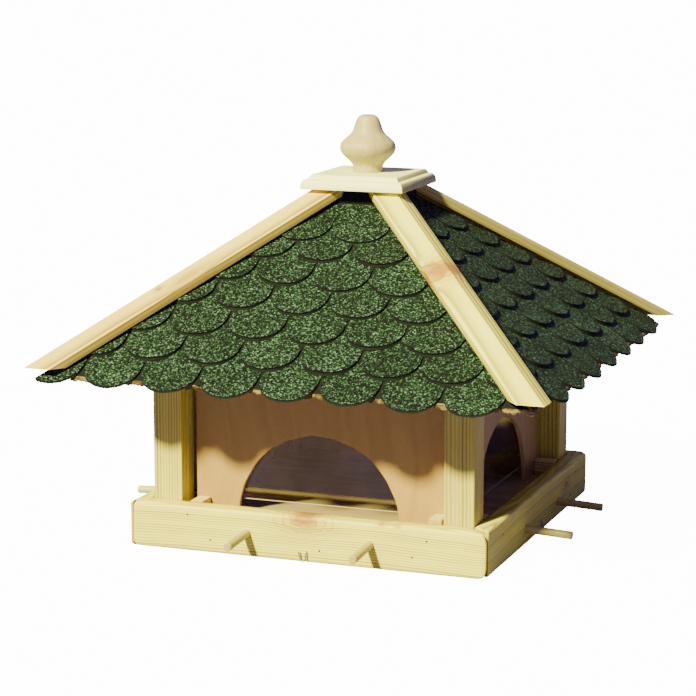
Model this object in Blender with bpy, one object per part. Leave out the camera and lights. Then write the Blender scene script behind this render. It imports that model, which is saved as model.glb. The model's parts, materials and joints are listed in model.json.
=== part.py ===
"""Square wooden bird feeder with a hipped shingle roof, a silo behind arched windows and a lift-off knob lid.

Metres, +Z up. The origin is the middle of the tray's underside. The front faces -Y and the right side +X.
Every side piece is modelled as the front one and turned about Z to its own side.
"""

import math

import bmesh
import bpy
from mathutils import Matrix, Vector

GAP = 0.0003  # clearance between two pieces that touch

# Tray
TRAY_HALF = 0.200
RIM_HEIGHT = 0.050
RIM_THICK = 0.019
RIM_ROUND_TOP = 0.005
RIM_ROUND_LOW = 0.004
FLOOR_TOP = 0.035
FLOOR_THICK = 0.009
BEARER_WIDTH = 0.020
BEARER_HEIGHT = 0.020
BEARER_CLEAR = 0.004  # the bearers stay this far above the underside

# Posts, panels and panes
POST = 0.033
POST_CHAMFER = 0.0012
PANEL_SETBACK = 0.024  # from the outer face of a post to the outer face of a panel
PANEL_THICK = 0.005
PANEL_SIDE_GAP = 0.007
ARCH_RADIUS = 0.091
PANE_THICK = 0.003
FEED_GAP = 0.015
RAIL_HEIGHT = 0.030
CLEAT_WIDTH = 0.014
CLEAT_CHAMFER = 0.0006

# Perches and hooks
PERCH_RADIUS = 0.0045
PERCH_OUT = 0.052
PERCH_IN = 0.0175
PERCH_DROOP = math.radians(3.0)
HOOK_WIRE = 0.0008
HOOK_SHANK = 0.012  # length inside the rim
HOOK_HEIGHT = 0.0125
HOOK_BEND = 0.0018  # radius of the bend outside the rim
HOOK_HALF = 0.0031  # half the width of its loop
HOOK_LOW = 0.0022

# Roof, measured on the hips' outer ridge line
ROOF_PITCH = math.radians(36.25)
RIDGE_APEX = 0.4107
RIDGE_TIP = 0.2819
BATTEN_THICK = 0.010
SHINGLE_THICK = 0.0055
SHINGLE_EAVE = 0.2805
COURSES = 7
COURSE = 0.0315  # exposure of one course of shingles, in plan
COURSE_STEP = 0.0024  # how far the lower edge of a course stands above the course below it
TAB_PITCH = 0.0658
TAB_DEPTH = 0.0235  # of the scallops, in plan
TAB_START = 0.007  # middle of one tab of the lowest course, along the side
DECK_THICK = 0.009
DECK_EAVE = 0.268
FILL_HALF = 0.040  # half the width of the square filling opening

# Lid
CAP_HALF = 0.0587
CAP_BOTTOM = 0.376
CAP_HEIGHT = 0.0155
COLLAR_HALF = 0.038
COLLAR_HEIGHT = 0.014
SCREW_SHANK = 0.002
SCREW_HEAD = 0.004
SCREW_DEPTH_IN_FINIAL = 0.018

SIDES = {"front": 0.0, "right": 90.0, "back": 180.0, "left": 270.0}
CORNERS = {"front_right": 0.0, "back_right": 90.0, "back_left": 180.0, "front_left": 270.0}

# Level widths of a batten's two legs: the one on the slope to the left of its hip, then the one to the right
BATTEN_LEGS = {
    "front_right": (0.0290, 0.0255),
    "back_right": (0.0080, 0.0290),
    "back_left": (0.0290, 0.0255),
    "front_left": (0.0255, 0.0290),
}

# Along each side, seen from outside: where the two perches leave the rim and how high
PERCHES = {
    "front": (-0.0650, 0.0735, 0.0260),
    "right": (-0.0550, 0.0735, 0.0190),
    "back": (-0.0695, 0.0695, 0.0220),
    "left": (-0.0695, 0.0695, 0.0300),
}
# The two cleats of each side: (place along the side, height)
CLEATS = {
    "front": ((-0.1312, 0.0155), (0.1385, 0.0195)),
    "right": ((-0.1350, 0.0160), (0.1330, 0.0170)),
    "back": ((-0.1350, 0.0160), (0.1350, 0.0160)),
    "left": ((-0.1350, 0.0160), (0.1350, 0.0160)),
}

POST_FACE = TRAY_HALF - RIM_THICK - GAP
POST_INNER = POST_FACE - POST
RISE = math.tan(ROOF_PITCH)


def on_slope(r, drop):
    """Height of the plane that lies drop, square to the slope, below the hips' outer faces, at r from the middle."""
    return RIDGE_APEX - RISE * r - drop / math.cos(ROOF_PITCH)


SHINGLE_DROP = BATTEN_THICK + GAP
DECK_DROP = SHINGLE_DROP + SHINGLE_THICK + GAP
CEILING_DROP = DECK_DROP + DECK_THICK
POST_TOP = on_slope(POST_FACE, CEILING_DROP + GAP)


def clear_scene():
    for obj in list(bpy.data.objects):
        bpy.data.objects.remove(obj, do_unlink=True)


def material(name, colour, roughness, metallic=0.0, transmission=0.0):
    made = bpy.data.materials.new(name)
    made.use_nodes = True
    shader = made.node_tree.nodes["Principled BSDF"]
    shader.inputs["Base Color"].default_value = (*colour, 1.0)
    shader.inputs["Roughness"].default_value = roughness
    shader.inputs["Metallic"].default_value = metallic
    shader.inputs["Transmission Weight"].default_value = transmission
    made.diffuse_color = (*colour, 1.0)
    return made


def pine(name):
    return material(name, (0.72, 0.60, 0.33), 0.55)


def plywood(name):
    return material(name, (0.60, 0.43, 0.24), 0.60)


def beech(name):
    return material(name, (0.74, 0.58, 0.40), 0.50)


def acrylic(name):
    return material(name, (0.92, 0.95, 0.94), 0.05, transmission=0.95)


def bitumen(name):
    return material(name, (0.06, 0.14, 0.07), 0.95)


def steel(name):
    return material(name, (0.62, 0.60, 0.55), 0.35, metallic=1.0)


def new_object(name, bm, finish, turn=0.0):
    """An object made from bm, with its own material, turned about Z by turn degrees."""
    bmesh.ops.recalc_face_normals(bm, faces=bm.faces)
    mesh = bpy.data.meshes.new(name)
    bm.to_mesh(mesh)
    bm.free()
    obj = bpy.data.objects.new(name, mesh)
    bpy.context.collection.objects.link(obj)
    obj.rotation_euler.z = math.radians(turn)
    if finish is not None:
        mesh.materials.append(finish(name + "_finish"))
    return obj


def smooth(obj, angle=35.0):
    obj.data.shade_smooth()
    obj.data.set_sharp_from_angle(angle=math.radians(angle))


def prism(bm, outline, offset):
    """Adds a solid: the polygon through the points of outline, extruded by offset."""
    base = bm.faces.new([bm.verts.new(point) for point in outline])
    grown = bmesh.ops.extrude_face_region(bm, geom=[base])["geom"]
    bmesh.ops.translate(bm, vec=offset, verts=[v for v in grown if isinstance(v, bmesh.types.BMVert)])


def loft(bm, lower, upper):
    """Adds a solid between two outlines with the same number of points."""
    low = [bm.verts.new(point) for point in lower]
    high = [bm.verts.new(point) for point in upper]
    bm.faces.new(low)
    bm.faces.new(high)
    for i in range(len(low)):
        j = (i + 1) % len(low)
        bm.faces.new((low[i], low[j], high[j], high[i]))


def block(bm, low, high):
    outline = [(low[0], low[1], low[2]), (high[0], low[1], low[2])]
    outline += [(high[0], high[1], low[2]), (low[0], high[1], low[2])]
    prism(bm, outline, (0.0, 0.0, high[2] - low[2]))


def rod(bm, start, end, radius, sides):
    """Adds a closed cylinder from start to end."""
    start = Vector(start)
    axis = Vector(end) - start
    place = Matrix.Translation(start + axis / 2) @ axis.to_track_quat("Z", "Y").to_matrix().to_4x4()
    bmesh.ops.create_cone(
        bm, cap_ends=True, segments=sides, radius1=radius, radius2=radius, depth=axis.length, matrix=place
    )


def turned(bm, profile, sides):
    """Adds a solid of revolution about Z. The profile lists (radius, height), with both ends on the axis."""
    verts = [bm.verts.new((radius, 0.0, height)) for radius, height in profile]
    edges = [bm.edges.new(pair) for pair in zip(verts, verts[1:])]
    bmesh.ops.spin(
        bm, geom=verts + edges, cent=(0, 0, 0), axis=(0, 0, 1), angle=2 * math.pi, steps=sides, use_duplicate=False
    )
    bmesh.ops.remove_doubles(bm, verts=bm.verts, dist=1e-6)


def soften(bm, width, segments=1):
    """Rounds every edge that is sharper than 40 degrees."""
    sharp = [edge for edge in bm.edges if edge.calc_face_angle(0.0) > math.radians(40)]
    bmesh.ops.bevel(bm, geom=sharp, offset=width, segments=segments, profile=0.5, affect="EDGES")


def trim(obj, cutter, label, operation="DIFFERENCE"):
    cutter.hide_render = True
    cutter.display_type = "WIRE"
    modifier = obj.modifiers.new(label, "BOOLEAN")
    modifier.operation = operation
    modifier.solver = "EXACT"
    modifier.object = cutter


def smooth_curve(points, steps):
    """A Catmull-Rom curve through the points, with steps pieces between each two."""
    points = [Vector(point) for point in points]
    ends = [2 * points[0] - points[1], *points, 2 * points[-1] - points[-2]]
    curve = []
    for i in range(1, len(ends) - 2):
        a, b, c, d = ends[i - 1 : i + 3]
        for k in range(steps):
            t = k / steps
            curve.append(
                0.5 * (2 * b + (c - a) * t + (2 * a - 5 * b + 4 * c - d) * t * t + (3 * b - a - 3 * c + d) * t**3)
            )
    curve.append(points[-1])
    return curve


def perch_line(along, height, inner, outer):
    """The axis of a perch: it runs out of the rim and droops a little. inner and outer are distances from the face."""
    reach = Vector((0.0, -math.cos(PERCH_DROOP), -math.sin(PERCH_DROOP)))
    middle = Vector((along, -TRAY_HALF, height))
    return middle - reach * inner, middle + reach * outer


def hook_path():
    """The wire of a hook: straight out of the rim, bent down, round a half circle and up to its free end."""
    stand = -TRAY_HALF - GAP - HOOK_WIRE
    path = [Vector((HOOK_HALF, -TRAY_HALF + HOOK_SHANK, HOOK_HEIGHT))]
    for k in range(5):
        angle = math.pi / 2 * k / 4
        drop = HOOK_BEND * (1 - math.cos(angle))
        path.append(Vector((HOOK_HALF, stand - HOOK_BEND * math.sin(angle), HOOK_HEIGHT - drop)))
    face = stand - HOOK_BEND
    for k in range(9):
        angle = math.pi * k / 8
        height = HOOK_LOW + HOOK_HALF * (1 - math.sin(angle))
        path.append(Vector((HOOK_HALF * math.cos(angle), face, height)))
    path.append(Vector((-HOOK_HALF - 0.0014, face - 0.0006, HOOK_HEIGHT)))
    return path


def make_rim(side, turn):
    """One mitred board of the tray's rim, with round long edges and holes for its perches and its hook."""
    bm = bmesh.new()
    outer, inner = TRAY_HALF, TRAY_HALF - RIM_THICK
    outline = [(-outer + GAP, -outer, 0.0), (outer - GAP, -outer, 0.0)]
    outline += [(inner - GAP, -inner, 0.0), (-inner + GAP, -inner, 0.0)]
    prism(bm, outline, (0.0, 0.0, RIM_HEIGHT))
    long_edges = [e for e in bm.edges if abs(e.verts[0].co.x - e.verts[1].co.x) > outer]

    def at(edge, y, z):
        return all(abs(v.co.y - y) < 1e-5 and abs(v.co.z - z) < 1e-5 for v in edge.verts)

    for radius, y, z in ((RIM_ROUND_TOP, -outer, RIM_HEIGHT), (RIM_ROUND_LOW, -outer, 0.0)):
        chosen = [e for e in long_edges if e.is_valid and at(e, y, z)]
        bmesh.ops.bevel(bm, geom=chosen, offset=radius, segments=4, profile=0.5, affect="EDGES")
    rim = new_object("rim_" + side, bm, pine, turn)

    holes = bmesh.new()
    first, second, height = PERCHES[side]
    for along in (first, second):
        start, end = perch_line(along, height, PERCH_IN + 0.010, 0.010)
        rod(holes, start, end, PERCH_RADIUS + GAP, 20)
    shank = Vector((HOOK_HALF, -TRAY_HALF, HOOK_HEIGHT))
    rod(holes, shank + Vector((0, HOOK_SHANK + 0.001, 0)), shank - Vector((0, 0.005, 0)), HOOK_WIRE + 0.0005, 10)
    trim(rim, new_object("holes_" + side, holes, None, turn), "holes")
    smooth(rim)


def make_perches(side, turn):
    first, second, height = PERCHES[side]
    for label, along in (("1", first), ("2", second)):
        bm = bmesh.new()
        rod(bm, *perch_line(along, height, PERCH_IN, PERCH_OUT), PERCH_RADIUS, 20)
        smooth(new_object(f"perch_{side}_{label}", bm, beech, turn))


def make_hook(side, turn):
    """A bent steel wire: a tube swept along the hook's path without twist, with flat ends."""
    path = hook_path()
    bm = bmesh.new()
    rings = []
    across = Vector((1.0, 0.0, 0.0))
    for i, point in enumerate(path):
        along = (path[min(i + 1, len(path) - 1)] - path[max(i - 1, 0)]).normalized()
        across = (across - along * across.dot(along)).normalized()
        beside = along.cross(across)
        ring = []
        for k in range(8):
            angle = 2 * math.pi * (k + 0.5) / 8
            ring.append(bm.verts.new(point + (across * math.cos(angle) + beside * math.sin(angle)) * HOOK_WIRE))
        rings.append(ring)
    for ring, after in zip(rings, rings[1:]):
        for k in range(8):
            bm.faces.new((ring[k], ring[(k + 1) % 8], after[(k + 1) % 8], after[k]))
    bm.faces.new(rings[0])
    bm.faces.new(rings[-1])
    smooth(new_object("hook_" + side, bm, steel, turn))


def make_floor():
    bm = bmesh.new()
    half = POST_FACE
    block(bm, (-half, -half, FLOOR_TOP - FLOOR_THICK), (half, half, FLOOR_TOP))
    new_object("floor_board", bm, plywood)
    for side in ("front", "back"):
        bm = bmesh.new()
        top = FLOOR_TOP - FLOOR_THICK - GAP
        low = max(BEARER_CLEAR, top - BEARER_HEIGHT)
        block(bm, (-half, -half, low), (half, -half + BEARER_WIDTH, top))
        new_object("floor_bearer_" + side, bm, pine, SIDES[side])


def make_post(corner, turn):
    bm = bmesh.new()
    block(bm, (POST_INNER, -POST_FACE, FLOOR_TOP + GAP), (POST_FACE, -POST_INNER, POST_TOP))
    upright = [e for e in bm.edges if abs(e.verts[0].co.z - e.verts[1].co.z) > POST]
    bmesh.ops.bevel(bm, geom=upright, offset=POST_CHAMFER, segments=2, profile=0.5, affect="EDGES")
    smooth(new_object("post_" + corner, bm, pine, turn))


def make_panel(side, turn):
    """The plywood front of one side, with its half-round window cut up from the foot."""
    bm = bmesh.new()
    half = POST_INNER - PANEL_SIDE_GAP
    foot, face = FLOOR_TOP + GAP, -POST_FACE + PANEL_SETBACK
    steps = 24
    outline = [(-half, face, foot), (-half, face, POST_TOP), (half, face, POST_TOP), (half, face, foot)]
    for k in range(steps + 1):
        angle = math.pi * k / steps
        outline.append((ARCH_RADIUS * math.cos(angle), face, foot + ARCH_RADIUS * math.sin(angle)))
    prism(bm, outline, (0.0, PANEL_THICK, 0.0))
    smooth(new_object("arch_panel_" + side, bm, plywood, turn), 20.0)


def make_pane(side, turn):
    """The clear pane behind a panel. Its lower edge stays above the floor, and seed runs out under it."""
    bm = bmesh.new()
    half = POST_INNER - PANEL_SIDE_GAP
    near = -POST_FACE + PANEL_SETBACK + PANEL_THICK + GAP
    block(bm, (-half, near, FLOOR_TOP + FEED_GAP), (half, near + PANE_THICK, POST_TOP))
    new_object("window_pane_" + side, bm, acrylic, turn)


def make_rail(side, turn):
    bm = bmesh.new()
    half = POST_INNER - GAP
    block(
        bm,
        (-half, -POST_FACE, POST_TOP - RAIL_HEIGHT),
        (half, -POST_FACE + PANEL_SETBACK - GAP, POST_TOP),
    )
    new_object("top_rail_" + side, bm, pine, turn)


def make_cleats(side, turn):
    for label, (along, height) in zip("12", CLEATS[side]):
        bm = bmesh.new()
        block(
            bm,
            (along - CLEAT_WIDTH / 2, -POST_FACE, FLOOR_TOP + GAP),
            (along + CLEAT_WIDTH / 2, -POST_FACE + PANEL_SETBACK - GAP, FLOOR_TOP + height),
        )
        soften(bm, CLEAT_CHAMFER)
        new_object(f"cleat_{side}_{label}", bm, pine, turn)


def slope_slab(bm, edge_low, edge_top, top_drop, thick):
    """A slab on the front slope. edge_low and edge_top list its plan outline, as (x, distance from the middle)."""
    plan = list(edge_low) + list(edge_top)
    lower = [(x, -r, on_slope(r, top_drop + thick)) for x, r in plan]
    upper = [(x, -r, on_slope(r, top_drop)) for x, r in plan]
    loft(bm, lower, upper)


def make_deck(side, turn):
    bm = bmesh.new()
    low = [(-(DECK_EAVE - GAP), DECK_EAVE), (DECK_EAVE - GAP, DECK_EAVE)]
    top = [(FILL_HALF - GAP, FILL_HALF), (-(FILL_HALF - GAP), FILL_HALF)]
    slope_slab(bm, low, top, DECK_DROP, DECK_THICK)
    new_object("roof_deck_" + side, bm, pine, turn)


def course_edge(course, x):
    """How far from the middle the lower edge of a course is at x: round tabs, staggered by half a tab."""
    across = ((x - TAB_START) / TAB_PITCH + 0.5 * (course % 2) + 0.5) % 1.0 * 2 - 1
    return SHINGLE_EAVE - COURSE * course - TAB_DEPTH * (1 - math.sqrt(max(0.0, 1 - 0.97 * across * across)))


def course_drop(course, r):
    """How far the upper face of a course lies below the hips' outer faces: it sinks towards the ridge."""
    return SHINGLE_DROP + COURSE_STEP * (SHINGLE_EAVE - COURSE * course - r) / COURSE


def make_shingles(side, turn):
    """All courses of one slope as one layer, stepped at the round tabs of each course and trimmed along the hips."""
    ridge_end = FILL_HALF - 0.010
    step = TAB_PITCH / 8
    count = int(SHINGLE_EAVE / step) + 2
    bm = bmesh.new()
    sections = []
    for k in range(-count, count + 1):
        x = TAB_START + k * step
        points = []
        for course in range(COURSES):
            edge = course_edge(course, x)
            if course == 0:
                points.append((edge, SHINGLE_DROP + SHINGLE_THICK))
            else:
                points.append((edge, course_drop(course - 1, edge)))
            points.append((edge, course_drop(course, edge)))
        points.append((ridge_end, course_drop(COURSES - 1, ridge_end)))
        points.append((ridge_end, SHINGLE_DROP + SHINGLE_THICK))
        sections.append([bm.verts.new((x, -r, on_slope(r, drop))) for r, drop in points])
    bm.faces.new(sections[0])
    bm.faces.new(sections[-1])
    for section, after in zip(sections, sections[1:]):
        for k in range(len(section)):
            j = (k + 1) % len(section)
            bm.faces.new((section[k], section[j], after[j], after[k]))
    layer = new_object("shingles_" + side, bm, bitumen, turn)

    plan = bmesh.new()
    far, near = SHINGLE_EAVE + 0.010, FILL_HALF
    outline = [(-far + GAP, -far, 0.10), (far - GAP, -far, 0.10), (near - GAP, -near, 0.10), (-near + GAP, -near, 0.10)]
    prism(plan, outline, (0.0, 0.0, 0.40))
    trim(layer, new_object("slope_" + side, plan, None, turn), "slope", "INTERSECT")


def make_hip_batten(corner, turn):
    """An angle-section batten over one hip, cut level at its tip and under the cap, and square round the opening."""
    pitch_sin, pitch_cos = math.sin(ROOF_PITCH), math.cos(ROOF_PITCH)
    ridge = Vector((0.0, 0.0, RIDGE_APEX))
    front_leg, right_leg = BATTEN_LEGS[corner]
    front_edge = ridge + Vector((-front_leg, 0.0, 0.0))
    right_edge = ridge + Vector((0.0, right_leg, 0.0))
    lines = [
        front_edge,
        ridge,
        right_edge,
        right_edge - Vector((pitch_sin, 0.0, pitch_cos)) * BATTEN_THICK,
        ridge - Vector((0.0, 0.0, BATTEN_THICK / pitch_cos)),
        front_edge - Vector((0.0, -pitch_sin, pitch_cos)) * BATTEN_THICK,
    ]
    down = Vector((1.0, -1.0, -RISE))

    def level_cut(height):
        return [point + down * ((point.z - height) / RISE) for point in lines]

    bm = bmesh.new()
    loft(bm, level_cut(RIDGE_APEX - RISE * RIDGE_TIP), level_cut(CAP_BOTTOM - GAP))
    batten = new_object("hip_batten_" + corner, bm, pine, turn)
    opening = bmesh.new()
    block(opening, (-FILL_HALF, -FILL_HALF, 0.30), (FILL_HALF, FILL_HALF, 0.42))
    trim(batten, new_object("opening_" + corner, opening, None), "opening")


def square_ring(half, height):
    return [(-half, -half, height), (half, -half, height), (half, half, height), (-half, half, height)]


def make_cap():
    """The square cap board: round moulding, a small step, a bevel, and a screw hole in the middle."""
    bm = bmesh.new()
    shoulder, shoulder_half = 0.0110, 0.0535
    profile = [(CAP_HALF, 0.0)]
    for k in range(1, 7):
        angle = math.pi / 2 * k / 6
        profile.append(
            (
                shoulder_half + (CAP_HALF - shoulder_half) * math.cos(angle),
                0.002 + (shoulder - 0.002) * math.sin(angle),
            )
        )
    profile += [(shoulder_half - 0.0015, shoulder + 0.0002), (0.0491, CAP_HEIGHT)]
    rings = [[bm.verts.new(p) for p in square_ring(half, CAP_BOTTOM + height)] for half, height in profile]
    bm.faces.new(rings[0])
    bm.faces.new(rings[-1])
    for ring, after in zip(rings, rings[1:]):
        for k in range(4):
            bm.faces.new((ring[k], ring[(k + 1) % 4], after[(k + 1) % 4], after[k]))
    cap = new_object("cap_board", bm, pine)
    hole = bmesh.new()
    rod(hole, (0, 0, CAP_BOTTOM - 0.01), (0, 0, CAP_BOTTOM + CAP_HEIGHT + 0.01), SCREW_SHANK + GAP, 16)
    trim(cap, new_object("cap_hole", hole, None), "hole")
    return cap


def make_collar():
    """The square block under the cap that drops into the filling opening and keeps the lid in place."""
    bm = bmesh.new()
    top = CAP_BOTTOM - GAP
    block(bm, (-COLLAR_HALF, -COLLAR_HALF, top - COLLAR_HEIGHT), (COLLAR_HALF, COLLAR_HALF, top))
    collar = new_object("lid_collar", bm, pine)
    hole = bmesh.new()
    rod(hole, (0, 0, top - COLLAR_HEIGHT - 0.01), (0, 0, top - COLLAR_HEIGHT + 0.004), SCREW_HEAD + GAP, 20)
    shank = bmesh.new()
    rod(shank, (0, 0, top - COLLAR_HEIGHT - 0.01), (0, 0, top + 0.01), SCREW_SHANK + GAP, 16)
    trim(collar, new_object("collar_counterbore", hole, None), "counterbore")
    trim(collar, new_object("collar_hole", shank, None), "hole")
    return collar


FINIAL_BASE = CAP_BOTTOM + CAP_HEIGHT + GAP
# (radius, height) of the turned knob: neck, lower cone, round belly, waist and flat top
FINIAL_STATIONS = (
    (0.0163, 0.0000),
    (0.0166, 0.0070),
    (0.0200, 0.0126),
    (0.0262, 0.0190),
    (0.0302, 0.0268),
    (0.0278, 0.0332),
    (0.0205, 0.0378),
    (0.0165, 0.0425),
    (0.0145, 0.0490),
    (0.0120, 0.0555),
    (0.0085, 0.0605),
    (0.0045, 0.0622),
)


def make_finial():
    bm = bmesh.new()
    outline = smooth_curve([(radius, height, 0.0) for radius, height in FINIAL_STATIONS], 3)
    profile = [(0.0, 0.0)] + [(point.x, point.y) for point in outline] + [(0.0, FINIAL_STATIONS[-1][1])]
    turned(bm, [(radius, FINIAL_BASE + height) for radius, height in profile], 32)
    finial = new_object("finial", bm, beech)
    hole = bmesh.new()
    rod(hole, (0, 0, FINIAL_BASE - 0.01), (0, 0, FINIAL_BASE + SCREW_DEPTH_IN_FINIAL + 0.001), SCREW_SHANK + GAP, 16)
    trim(finial, new_object("finial_hole", hole, None), "hole")
    smooth(finial, 50.0)
    return finial


def make_screw():
    """The screw that holds the finial from below, with its head inside the collar."""
    bm = bmesh.new()
    seat = CAP_BOTTOM - GAP - COLLAR_HEIGHT + 0.004 - GAP
    tip = FINIAL_BASE + SCREW_DEPTH_IN_FINIAL
    profile = [(0.0, seat - 0.003), (SCREW_HEAD, seat - 0.003), (SCREW_HEAD, seat)]
    profile += [(SCREW_SHANK, seat), (SCREW_SHANK, tip - 0.004), (0.0, tip)]
    turned(bm, profile, 16)
    screw = new_object("finial_screw", bm, steel)
    smooth(screw)
    return screw


def main():
    clear_scene()
    for side, turn in SIDES.items():
        make_rim(side, turn)
        make_perches(side, turn)
        make_hook(side, turn)
        make_panel(side, turn)
        make_pane(side, turn)
        make_rail(side, turn)
        make_cleats(side, turn)
        make_deck(side, turn)
        make_shingles(side, turn)
    make_floor()
    for corner, turn in CORNERS.items():
        make_post(corner, turn)
        make_hip_batten(corner, turn)

    lid_axis = bpy.data.objects.new("lid_axis", None)
    lid_axis.location.z = CAP_BOTTOM
    bpy.context.collection.objects.link(lid_axis)
    for piece in (make_cap(), make_collar(), make_finial(), make_screw()):
        piece.parent = lid_axis
        piece.matrix_parent_inverse = Matrix.Translation((0.0, 0.0, -CAP_BOTTOM))


main()
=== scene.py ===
"""Looks of the bird feeder: fine shapes, procedural wood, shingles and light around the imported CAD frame."""

import json
import math
import random

import bmesh
import bpy
from mathutils import Matrix, Vector, noise

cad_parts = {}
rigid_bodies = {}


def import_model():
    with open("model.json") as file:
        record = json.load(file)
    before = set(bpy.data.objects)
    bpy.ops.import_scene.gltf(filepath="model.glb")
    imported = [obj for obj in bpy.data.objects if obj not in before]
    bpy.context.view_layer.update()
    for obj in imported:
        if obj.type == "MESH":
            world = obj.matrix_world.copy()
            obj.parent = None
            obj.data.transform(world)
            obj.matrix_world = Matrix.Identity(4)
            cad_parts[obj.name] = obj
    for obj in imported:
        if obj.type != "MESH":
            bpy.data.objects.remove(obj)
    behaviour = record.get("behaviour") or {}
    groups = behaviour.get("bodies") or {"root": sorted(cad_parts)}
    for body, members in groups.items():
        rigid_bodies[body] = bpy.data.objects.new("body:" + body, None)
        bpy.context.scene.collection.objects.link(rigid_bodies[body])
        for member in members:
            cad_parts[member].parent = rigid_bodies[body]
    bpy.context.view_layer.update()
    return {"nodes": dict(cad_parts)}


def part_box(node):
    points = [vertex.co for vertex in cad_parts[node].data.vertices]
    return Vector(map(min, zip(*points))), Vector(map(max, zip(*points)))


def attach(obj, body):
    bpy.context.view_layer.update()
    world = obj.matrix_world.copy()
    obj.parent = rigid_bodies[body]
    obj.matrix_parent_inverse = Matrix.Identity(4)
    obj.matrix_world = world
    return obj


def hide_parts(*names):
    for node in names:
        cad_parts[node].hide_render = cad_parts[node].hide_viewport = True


for old in list(bpy.data.objects):
    bpy.data.objects.remove(old, do_unlink=True)

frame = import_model()
nodes = frame["nodes"]

SIDES = {"front": 0, "right": 90, "back": 180, "left": 270}
CORNERS = {"front_right": 0, "back_right": 90, "back_left": 180, "front_left": 270}

# ---------------------------------------------------------------- sizes, some from the frame's own boxes, the rest given
rim_low, rim_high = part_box("rim_front")
TRAY = -rim_low.y
RIM_TOP = rim_high.z
RIM_THICK = rim_high.y - rim_low.y
panel_low, panel_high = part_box("arch_panel_front")
pane_low, pane_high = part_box("window_pane_front")
batten_low, batten_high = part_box("hip_batten_front_right")
shingle_low, shingle_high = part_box("shingles_front")
deck_low, deck_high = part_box("roof_deck_front")
cap_low, cap_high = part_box("cap_board")
finial_low, finial_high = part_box("finial")
RIDGE_TIP = batten_high.x
SHINGLE_EAVE = -shingle_low.y
DECK_EAVE = -deck_low.y
FILL_HALF = -deck_high.y
GAP = 0.0003
PITCH = math.radians(36.25)
RISE = math.tan(PITCH)
RIDGE_APEX = batten_low.z + RISE * RIDGE_TIP
BATTEN_THICK = 0.010
SHINGLE_DROP = BATTEN_THICK + GAP
DECK_DROP = SHINGLE_DROP + 0.0055 + GAP
DECK_THICK = 0.009
COURSE = 0.0323
COURSE_STEP = 0.0044
TAB_PITCH = 0.0658
ARCH_RADIUS = 0.091


def on_slope(r, drop):
    return RIDGE_APEX - RISE * r - drop / math.cos(PITCH)


def turned(vector, turn):
    return Matrix.Rotation(math.radians(turn), 3, "Z") @ Vector(vector)


# ---------------------------------------------------------------- node helpers
class Tree:
    """A thin wrapper that adds nodes to one material and links them."""

    def __init__(self, name):
        self.material = bpy.data.materials.new(name)
        self.material.use_nodes = True
        self.tree = self.material.node_tree
        self.tree.nodes.clear()

    def add(self, kind, inputs=(), **settings):
        made = self.tree.nodes.new(kind)
        for key, value in settings.items():
            setattr(made, key, value)
        for key, value in dict(inputs).items():
            self.put(made.inputs[key], value)
        return made

    def put(self, socket, value):
        if isinstance(value, bpy.types.NodeSocket):
            self.tree.links.new(value, socket)
        else:
            socket.default_value = value

    def math(self, operation, a, b=0.0, c=0.0, clamp=False):
        return self.add("ShaderNodeMath", {0: a, 1: b, 2: c}, operation=operation, use_clamp=clamp).outputs[0]

    def plus(self, a, b, clamp=False):
        return self.math("ADD", a, b, clamp=clamp)

    def times(self, a, b, clamp=False):
        return self.math("MULTIPLY", a, b, clamp=clamp)

    def vector(self, operation, a, b=(0, 0, 0)):
        made = self.add("ShaderNodeVectorMath", {0: a, 1: b}, operation=operation)
        return made.outputs["Value" if operation == "DOT_PRODUCT" else "Vector"]

    def combine(self, x, y, z):
        return self.add("ShaderNodeCombineXYZ", {0: x, 1: y, 2: z}).outputs[0]

    def span(self, value, low, high, to_low=0.0, to_high=1.0):
        keys = {"Value": value, "From Min": low, "From Max": high, "To Min": to_low, "To Max": to_high}
        return self.add("ShaderNodeMapRange", keys).outputs[0]

    def mix(self, factor, a, b, blend="MIX"):
        made = self.add("ShaderNodeMix", data_type="RGBA", blend_type=blend)
        for index, value in ((0, factor), (6, a), (7, b)):
            self.put(made.inputs[index], value)
        return made.outputs[2]

    def tint(self, a, b):
        return self.mix(1.0, a, b, "MULTIPLY")

    def ramp(self, value, stops):
        made = self.add("ShaderNodeValToRGB", {0: value})
        elements = made.color_ramp.elements
        while len(elements) < len(stops):
            elements.new(0.5)
        for element, (position, colour) in zip(elements, stops):
            element.position = position
            element.color = colour if len(colour) == 4 else (*colour, 1.0)
        return made.outputs[0]

    def noise(self, vector, scale=1.0, detail=2.0, rough=0.5, warp=0.0):
        keys = {"Vector": vector, "Scale": scale, "Detail": detail, "Roughness": rough, "Distortion": warp}
        return self.add("ShaderNodeTexNoise", keys).outputs[0]

    def finish(self, shader):
        out = self.add("ShaderNodeOutputMaterial")
        self.tree.links.new(shader.outputs[0], out.inputs[0])
        return self.material

    def surface(self, colour, roughness, height, bump, depth, **fixed):
        shader = self.add("ShaderNodeBsdfPrincipled", {"Base Color": colour, "Roughness": roughness})
        for key, value in fixed.items():
            shader.inputs[key.replace("_", " ")].default_value = value
        keys = {"Height": height, "Strength": bump, "Distance": depth}
        self.put(shader.inputs["Normal"], self.add("ShaderNodeBump", keys).outputs[0])
        return self.finish(shader)

    def board(self, origin, along, across):
        """A board's own coordinates: the point from its origin, then along, across and through it."""
        rel = self.vector("SUBTRACT", self.point(), tuple(origin))
        axes = (along, across, along.cross(across))
        return (rel, *(self.vector("DOT_PRODUCT", rel, tuple(axis)) for axis in axes))

    def point(self):
        return self.add("ShaderNodeTexCoord").outputs["Object"]

    def normal(self):
        return self.add("ShaderNodeTexCoord").outputs["Normal"]


def grey(value):
    return (value, value, value, 1.0)


# ---------------------------------------------------------------- materials
# Softwood's three colours: early wood, its warmer patches and late wood.
PINE = {"light": (0.88, 0.84, 0.09), "warm": (0.88, 0.74, 0.08), "late": (0.13, 0.085, 0.008)}
KNOT = (0.34, 0.15, 0.02, 1.0)


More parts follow.
